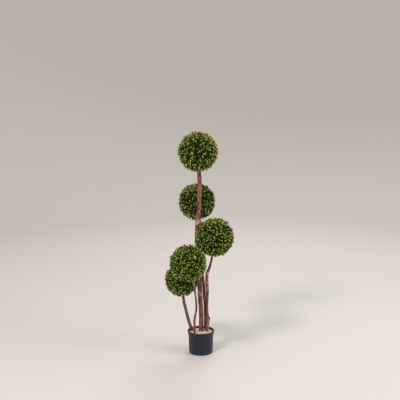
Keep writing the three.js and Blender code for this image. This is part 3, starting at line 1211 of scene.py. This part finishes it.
@dataclass
class FoliageBall:
    """A clipped ball of twigs and leaves round a dark core, made of two half shells.

    parting is the bearing of the line from the middle to the seam's face, where leaves are thin
    and the dark inside shows. stray is how far the longest leaf tips may stand past the solid's
    reach. Sprays nearer to another ball than shade_reach hold dark leaves only: painted shade, for
    the shade that the other ball casts on them.
    """

    name: str
    centre: Point
    radius: float
    seed: int
    parting: float
    parting_width: float = 0.0065
    parting_wander: float = 0.009
    parting_size: float = 0.3125
    parting_end: float = 0.55
    parting_kept: float = 0.3
    boughs: int = 110
    twigs: int = 740
    scatter: float = 0.07
    core_share: float = 0.68
    core_roughness: float = 0.05
    core_lump: float = 1 / 6
    core_sides: int = 48
    core_rings: int = 26
    bough_start: float = 0.95  # over the core's reach
    fork_share: float = 0.72
    tip_share: float = 0.85
    tip_spread: float = 0.034
    dull_depth: float = 0.02
    hollow_depth: float = 0.06
    hollow_size: float = 0.3
    bough_radius: float = 0.0014
    twig_radius: float = 0.0009
    twig_tip_radius: float = 0.0005
    twig_sides: int = 4  # as many as a side has corners, so that all faces of a twig are alike
    twig_pull: float = 0.5  # how much a leaf follows its twig rather than the way straight out
    fresh_share: float = 0.8
    lean_scatter: float = 0.4
    length_scatter: float = 0.2
    stray: float = 0.0025
    shade_reach: float = 0.018
    shade_reach_scatter: float = 0.3
    shade_patch_size: float = 0.2
    clearance: float = 0.001

    def clear(
        self, roots: np.ndarray, tips: np.ndarray, half_width: np.ndarray, around: Surroundings
    ) -> np.ndarray:
        """Which leaves or twigs keep off the other balls and off all stems.

        Args:
            roots: Where each starts, from the ball's middle.
            tips: Where each ends.
            half_width: Half the breadth of each.
            around: What they keep off.

        Returns:
            True for each that is clear.
        """
        fine = np.ones(len(roots), bool)
        for share in CHECKED_SHARES:
            places = roots + (tips - roots) * share + np.array(self.centre)
            for other in around.balls:
                away = np.linalg.norm(places - np.array(other.centre), axis=1)
                fine &= away > other.radius + other.stray
            for stem in around.stems:
                away = np.linalg.norm(places[:, None] - stem[None, :, :3], axis=2) - stem[:, 3]
                breadth = half_width * (share < 1)
                fine &= away.min(1) > breadth + self.clearance
        return fine

    def scattered(self, count: int, random: np.random.Generator) -> np.ndarray:
        """Directions spread over the ball, each leaned a little at random."""
        lean = self.scatter * random.random(count)
        return leaned(even_directions(count), lean, 2 * math.pi * random.random(count))

    def grown_twigs(self, random: np.random.Generator) -> tuple[np.ndarray, Twigs]:
        """Grows the boughs, and the fine twigs that leave them where they fork.

        Args:
            random: The ball's random numbers.

        Returns:
            The forks, from the ball's middle, and the fine twigs.
        """
        bough_ways = self.scattered(self.boughs, random)
        forks = bough_ways * self.fork_share * self.radius
        ways = self.scattered(self.twigs, random)
        nearest = (ways @ bough_ways.T).argmax(1)
        ends = self.tip_share + self.tip_spread * random.standard_normal(self.twigs)
        hollows = uneven(ways, self.hollow_size, (0.0, self.seed, 0.0))
        ends -= self.hollow_depth * np.maximum(0, hollows)
        fresh = random.random(self.twigs) < self.fresh_share
        ends -= self.dull_depth * ~fresh
        return forks, Twigs(forks[nearest], ways * (ends * self.radius)[:, None], fresh)

    def shaded(self, tips: np.ndarray, around: Surroundings) -> np.ndarray:
        """Which twigs end so near to another ball that it shades their leaves.

        Args:
            tips: Where each twig ends, from the ball's middle.
            around: The other balls.

        Returns:
            True for each that is shaded.
        """
        scatter = uneven(unit(tips), self.shade_patch_size, (self.seed, self.seed, 0.0))
        limit = self.shade_reach * (1 + self.shade_reach_scatter * scatter)
        shaded = np.zeros(len(tips), bool)
        for other in around.balls:
            away = np.linalg.norm(tips + np.array(self.centre) - np.array(other.centre), axis=1)
            shaded |= away - other.radius < limit
        return shaded

    def twig_shape(self, feet: np.ndarray, tips: np.ndarray, start: float, end: float) -> Shape:
        """Tapering twigs, each closed at both ends.

        Args:
            feet: Where each starts.
            tips: Where each ends.
            start: The radius at the foot.
            end: The radius at the tip.

        Returns:
            The twigs as one shape.
        """
        ways = unit(tips - feet)
        side = unit(np.cross(ways, ways[:, [1, 2, 0]] + TWIG_HELPER))
        other = np.cross(ways, side)
        count = self.twig_sides
        corners = [
            middle + radius * (side * math.cos(turn) + other * math.sin(turn))
            for middle, radius in ((feet, start), (tips, end))
            for turn in np.arange(count) / count * 2 * math.pi
        ]
        faces = [[s, (s + 1) % count, (s + 1) % count + count, s + count] for s in range(count)]
        faces += [list(range(count))[::-1], list(range(count, 2 * count))]
        return repeated(faces, corners)

    def leaf_shape(
        self,
        roots: np.ndarray,
        tips: np.ndarray,
        widths: np.ndarray,
        ups: np.ndarray,
        random: np.random.Generator,
    ) -> Shape:
        """Oval leaves, thin and closed, each folded along its midrib and arched.

        Args:
            roots: Where each leaf starts.
            tips: Where each ends.
            widths: How wide each is.
            ups: What each turns its upper side to.
            random: The ball's random numbers.

        Returns:
            The leaves as one shape.
        """
        along = tips - roots
        length = np.linalg.norm(along, axis=1)[:, None]
        breadth = widths[:, None] / 2
        across = unit(np.cross(along, ups)) * breadth
        over = unit(np.cross(across, along))
        fold, arch = (
            (least + more * random.random(len(roots)))[:, None] * size
            for (least, more), size in ((LEAF_FOLD, breadth), (LEAF_ARCH, length))
        )
        thick = over * LEAF_THICKNESS * length
        corners = [roots, tips]
        for share, half in LEAF_STATIONS:
            middle = roots + along * share + over * arch * 4 * share * (1 - share)
            edge = over * fold * half
            corners += [middle + across * half + edge, middle - across * half + edge]
            corners += [middle + thick, middle - thick]
        faces = [[0, here, beside] for here, beside in LEAF_RIM]
        for here, beside in LEAF_RIM:
            faces += [[here, here + 4, beside + 4], [here, beside + 4, beside]]
        faces += [[1, beside + 4, here + 4] for here, beside in LEAF_RIM]
        return repeated(faces, corners)

    def core_shape(self) -> Shape:
        """Makes the rough core that the twigs stand in, within the reach of the solid's core.

        Returns:
            The core, about the ball's middle.
        """
        climbs = np.pi * ((np.arange(self.core_rings) + 0.5) / self.core_rings - 0.5)
        rings = turned([(math.cos(climb), math.sin(climb)) for climb in climbs], self.core_sides)
        rough = uneven(rings.reshape(-1, 3), self.core_lump, (self.seed, 0.0, 0.0))
        reach = self.radius * self.core_share * (1 + self.core_roughness * rough)
        return skin(rings * reach.reshape(self.core_rings, self.core_sides, 1))

    def build(
        self,
        around: Surroundings,
        finishes: Mapping[Growth, bpy.types.Material],
        inside: bpy.types.Material,
    ) -> None:
        """Makes the ball's core, twigs and leaves in place of its node.

        Args:
            around: What its growth keeps off.
            finishes: The leaf material of each growth.
            inside: The finish of the core and the twigs.
        """
        random = np.random.default_rng(self.seed)
        forks, twigs = self.grown_twigs(random)
        breadths = np.full(self.twigs, self.twig_radius)
        fine = self.clear(twigs.feet, twigs.tips, breadths, around)
        twigs = Twigs(twigs.feet[fine], twigs.tips[fine], twigs.fresh[fine])
        self.add("core", self.core_shape(), inside)
        starts = forks * (self.core_share * self.bough_start / self.fork_share)
        boughs = self.twig_shape(starts, forks, self.bough_radius, self.twig_radius)
        ends = self.twig_shape(twigs.feet, twigs.tips, self.twig_radius, self.twig_tip_radius)
        moved = [[corner + len(boughs.corners) for corner in face] for face in ends.faces]
        corners = np.vstack([boughs.corners, ends.corners])
        self.add("twigs", Shape(corners, boughs.faces + moved), inside)
        for growth, parts in self.leaves_on(twigs, around, random).items():
            roots, tips, widths, ups = (np.concatenate(column) for column in zip(*parts))
            shape = self.leaf_shape(roots, tips, widths, ups, random)
            self.add(f"{growth.value}_leaves", shape, finishes[growth])

    def leaves_on(
        self, twigs: Twigs, around: Surroundings, random: np.random.Generator
    ) -> dict[Growth, list[tuple[np.ndarray, ...]]]:
        """Sets the pairs of leaves on the fine twigs, and deals out their growth by spray.

        Args:
            twigs: The fine twigs.
            around: What the leaves keep off.
            random: The ball's random numbers.

        Returns:
            For each growth, groups of leaves as their roots, tips, widths and upper sides.
        """
        feet, lengths = twigs.feet, twigs.tips - twigs.feet
        count = len(feet)
        leaves: dict[Growth, list] = {growth: [] for growth in Growth}
        ways = unit(unit(twigs.tips) + self.twig_pull * unit(lengths))
        roll = 2 * math.pi * random.random(count)
        closed = ways @ level_way(self.parting) < self.parting_end
        closed |= random.random(count) < self.parting_kept
        wander = self.parting_wander * uneven(ways, self.parting_size, (0.0, 0.0, self.seed))
        shaded = self.shaded(twigs.tips, around)
        fresh = twigs.fresh & ~shaded
        dull = ~twigs.fresh & ~shaded
        for level, pair in enumerate(PAIRS):
            for half in (0.0, math.pi):
                roots = feet + lengths * pair.root_share
                lean = pair.lean + self.lean_scatter * (random.random(count) - 0.5)
                side = roll + half + level * math.pi / 2 + self.lean_scatter * random.random(count)
                size = 1 + self.length_scatter * (2 * random.random(count) - 1)
                tips = roots + leaned(ways, lean, side) * (pair.length * size)[:, None]
                far = np.linalg.norm(tips, axis=1)
                tips *= np.minimum(1, (self.radius + self.stray) / far)[:, None]
                widths = pair.width * size
                fine = self.clear(roots, tips, widths / 2, around)
                away = np.abs(((roots + tips) / 2) @ level_way(self.parting + 90) - wander)
                fine &= closed | (away > self.parting_width)
                # Shaded sprays get only the old leaves' dark colour: painted shade.
                dealt = ((pair.growth, fresh), (pair.dull, dull), (Growth.OLD_AND_SHADED, shaded))
                for growth, of_spray in dealt:
                    held = fine & of_spray
                    leaves[growth].append((roots[held], tips[held], widths[held], ways[held]))
        return leaves

    def add(self, part: str, shape: Shape, material: bpy.types.Material) -> None:
        """Adds one of the ball's pieces.

        Args:
            part: What of the ball it is.
            shape: Its shape, about the ball's middle.
            material: Its finish.
        """
        placed = Shape(shape.corners + np.array(self.centre), shape.faces)
        add_piece(f"{self.name}_{part}", placed, material, self.name)


# The studio


@dataclass(frozen=True)
class Lamp:
    """A soft square light aimed at the plant."""

    name: str
    place: Point
    size: float
    power: float
    colour: str


@dataclass
class Studio:
    """A pale floor that sweeps up all round, soft lamps and the camera."""

    floor_radius: float = 4.6
    sweep: float = 1.5
    sweep_steps: int = 16
    wall_height: float = 3.2
    middle_radius: float = 0.02
    sides: int = 96
    sky_colour: str = "#f3f2ef"
    sky_strength: float = 0.6
    camera_place: Point = (0.0, -3.489, 1.295)
    camera_pitch: float = 9.71
    camera_yaw: float = 0.064
    lens: float = 72.64
    aim: Point = (0.0, 0.0, 0.5)
    lamps: Sequence[Lamp] = (
        Lamp("left_lamp", (-1.6, -2.4, 3.2), 0.8, 82, "#fff8ee"),
        Lamp("right_lamp", (2.6, -0.9, 1.9), 1.8, 46, "#f4f7ff"),
        Lamp("back_lamp", (0.6, 2.6, 2.8), 1.6, 40, "#ffffff"),
    )
    paint: StudioPaint = StudioPaint()

    def build(self) -> None:
        """Makes the camera, the floor, the lamps and the light all round."""
        scene = bpy.context.scene
        scene.view_settings.view_transform = "Standard"
        camera = new_object("camera", bpy.data.cameras.new("camera"))
        scene.camera = camera
        camera.data.lens = self.lens
        camera.location = self.camera_place
        tilt = math.radians(90 - self.camera_pitch)
        camera.rotation_euler = (tilt, 0.0, math.radians(self.camera_yaw))

        level = self.floor_radius - self.sweep
        profile = [(self.middle_radius, 0.0), (level, 0.0)]
        profile += arc((level, self.sweep), self.sweep, -90, 0, self.sweep_steps)
        profile.append((self.floor_radius, self.wall_height))
        shape = skin(turned(profile, self.sides))
        lid = len(shape.corners) - 1
        open_top = Shape(shape.corners[:-1], [face for face in shape.faces if lid not in face])
        floor = new_object("studio_floor", new_mesh("studio_floor", open_top))
        floor.data.materials.append(self.paint.material())

        for lamp in self.lamps:
            light = bpy.data.lights.new(lamp.name, "AREA")
            light.size = lamp.size
            light.energy = lamp.power
            light.color = linear(lamp.colour)[:3]
            holder = new_object(lamp.name, light)
            holder.location = lamp.place
            towards = Vector(self.aim) - Vector(lamp.place)
            holder.rotation_euler = towards.to_track_quat("-Z", "Y").to_euler()
            holder.visible_camera = False

        world = bpy.data.worlds.new("studio_sky")
        scene.world = world
        world.use_nodes = True
        sky = {"Color": linear(self.sky_colour), "Strength": self.sky_strength}
        wire(world.node_tree, world.node_tree.nodes["Background"], sky, None)
        LOG.info("studio: floor, %d lamps and the camera", len(self.lamps))


# What this plant is


def metres(*rows: Sequence[float]) -> tuple[tuple[float, ...], ...]:
    """Rows of millimetres as rows of metres."""
    return tuple(tuple(value / 1000 for value in row) for row in rows)


BALLS = (
    FoliageBall(
        "top_ball", (-0.0126, 0.0, 0.9111), 0.0908, 11, parting=269, twigs=720, fresh_share=0.78
    ),
    FoliageBall(
        "back_ball", (-0.0179, 0.0975, 0.6745), 0.086, 23, parting=278, twigs=630, fresh_share=0.66
    ),
    FoliageBall(
        "right_ball", (0.0594, -0.045, 0.5412), 0.0886, 37, parting=20, twigs=720, tip_share=0.845
    ),
    FoliageBall(
        "front_ball", (-0.0554, -0.13, 0.4451), 0.0826, 43, parting=160, twigs=670, fresh_share=0.78
    ),
    FoliageBall(
        "left_ball",
        (-0.0861, 0.052, 0.3234),
        0.0778,
        59,
        parting=5,
        twigs=640,
        fresh_share=0.72,
        # Its wide shade reach paints the shadow that the front ball casts on it.
        shade_reach=0.088,
    ),
)

STEMS = (
    Stem(
        "main_stem",
        "top_ball",
        tip_radius=0.0076,
        phase=0.4,
        sides=44,
        stations=metres(
            (1.2, 8, 95.8, 10),
            (1.1, 9, 150, 9.7),
            (0.6, 9.9, 193, 10.1),
            (-1.8, 10, 238, 10.4),
            (-3.2, 10, 274, 11.4),
            (-4.5, 10, 312, 11.3),
            (-7.8, 9.6, 350, 10.6),
            (-13.3, 8.9, 416, 8.7),
            (-17, 7.5, 500, 8.7),
            (-17.2, 5.4, 568, 9.5),
            (-16.2, 4.8, 588, 9.9),
            (-12, 4.3, 604, 9.7),
            (-10.3, 2.8, 652, 8.9),
            (-7, 2.3, 672, 8.7),
            (-6.4, 1.5, 715, 8.4),
            (-4.9, 1, 755, 8.5),
            (-6.7, 0.5, 795, 8.3),
        ),
        knots=(
            Knot(0.603, 180, 0.006, 0.009),
            Knot(0.599, -5, 0.0072, 0.01),
            Knot(0.232, 200, 0.0012, 0.012),
        ),
        scars=(Scar(0.596, 250, 0.0084, radius=0.0085), Scar(0.602, -62, 0.0108)),
        wrinkles=(Wrinkles(0.638, 0.668, 0.00035, 0.0075),),
        tone_bands=(
            ToneBand(0.12, 0.3, 0.05),
            # Paler round the fork: painted light, for the stronger light that this stretch of the
            # trunk takes.
            ToneBand(0.585, 0.7, 0.11),
            # Darker just under the top ball: the painted shadow that the top ball casts on the
            # trunk.
            ToneBand(0.735, 0.82, -0.22),
        ),
        finish=DriedBark("main_stem_bark"),
    ),
    Stem(
        "back_stem",
        "back_ball",
        tip_radius=0.0042,
        phase=1.9,
        stations=metres(
            (22.6, 12, 95.8, 5.2),
            (20.8, 12.3, 122, 6.6),
            (19.3, 12.8, 160, 6.7),
            (19, 14.2, 210, 6.3),
            (17.2, 15.6, 242, 6.4),
            (15.3, 17.3, 275, 6.3),
            (13.1, 20.2, 311, 6),
            (7.8, 24.5, 355, 4.9),
            (3.2, 37, 441, 4.4),
            (1, 64, 555, 4.3),
        ),
        knots=(Knot(0.254, 190, 0.0015, 0.006),),
        # Darker than the other stems' bark: partly the stick's own colour and partly painted shade,
        # for a stem standing behind the trunk and under the back ball.
        finish=DriedBark("back_stem_bark", furrow="#33191a", body="#703a38", ridge="#9c6760"),
    ),
    Stem(
        "right_stem",
        "right_ball",
        tip_radius=0.0046,
        phase=3.1,
        stations=metres(
            (28.6, -0.9, 95.8, 5),
            (30.4, -0.4, 117, 6.5),
            (31.7, 0.3, 150, 7.3),
            (29.2, 0.7, 182, 5.6),
            (27.8, 1, 212, 4.9),
            (28.8, 0.1, 252, 5.4),
            (29.2, -1, 289, 6.4),
            (26.4, -6, 355, 7.1),
            (29.9, -8, 374, 7.1),
            (36.9, -12.5, 394, 5.7),
            (43.5, -19, 419, 5),
            (49, -26, 447, 4.7),
        ),
        knots=(Knot(0.158, -5, 0.005, 0.008), Knot(0.371, 200, 0.0016, 0.008)),
        scars=(Scar(0.369, -58, 0.0058, radius=0.005),),
        finish=DriedBark("right_stem_bark", body="#9d5f4e", ridge="#cb9682", patch="#a8724a"),
    ),
    Stem(
        "front_stem",
        "front_ball",
        tip_radius=0.0042,
        phase=4.6,
        stations=metres(
            (-28, -28, 95.8, 5),
            (-28.5, -28, 130, 4.6),
            (-28.8, -28.2, 157, 4.7),
            (-25.9, -30, 178, 4.5),
            (-21.5, -33.5, 200, 4.2),
            (-19.8, -39, 223, 4.2),
            (-21.4, -49, 258, 4.2),
            (-25.5, -63.5, 298.5, 4.5),
            (-29.9, -78, 334.5, 4.4),
        ),
        knots=(Knot(0.158, 180, 0.0012, 0.007),),
        finish=DriedBark("front_stem_bark", body="#8f5456", ridge="#c08f8c"),
    ),
    Stem(
        "left_stem",
        "left_ball",
        tip_radius=0.0058,
        phase=5.5,
        stations=metres(
            (-37, 11.1, 95.8, 7.6),
            (-48.5, 15.2, 121, 6.9),
            (-57.3, 20, 148, 6.6),
            (-65.5, 25.5, 179, 6.5),
            (-74.9, 33, 219, 6.3),
            (-78.8, 37.5, 242, 6.1),
        ),
        knots=(Knot(0.215, 180, 0.0015, 0.009),),
        tone_bands=(ToneBand(0.09, 0.25, -0.12),),
        finish=DriedBark("left_stem_bark", body="#855046", patch="#7c5a40"),
    ),
)

LEAVES = {
    Growth.FRESH: MouldedPolyethylene("polyethylene_fresh_leaf", "#c3d562"),
    Growth.GROWN: MouldedPolyethylene("polyethylene_grown_leaf", "#647323"),
    Growth.OLD_AND_SHADED: MouldedPolyethylene("polyethylene_old_and_shaded_leaf", "#2c340c"),
}
# The core and twigs inside each ball: near-black, which is partly the plastic's own dark green and
# partly painted shade of the ball's deep inside.
INSIDE = MouldedPolyethylene("polyethylene_lattice_and_painted_shade", "#0c0f06", roughness=0.6)


def main() -> None:
    """Loads the frame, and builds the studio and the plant."""
    logging.basicConfig(level=logging.INFO, format="%(name)s: %(message)s")
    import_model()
    Studio().build()
    pot = Pot()
    pot.build()
    feet = [stem.stations[0] for stem in STEMS]
    Filling([(x, y, radius) for x, y, _, radius in feet]).build(pot)

    balls = {ball.name: ball for ball in BALLS}
    routes = []
    for stem in STEMS:
        stem.build(balls[stem.ball])
        routes.append(stem.route(balls[stem.ball]))

    finishes = {growth: finish.material() for growth, finish in LEAVES.items()}
    inside = INSIDE.material()
    for ball in BALLS:
        others = [other for other in BALLS if other is not ball]
        ball.build(Surroundings(others, routes), finishes, inside)


if __name__ == "__main__":
    main()
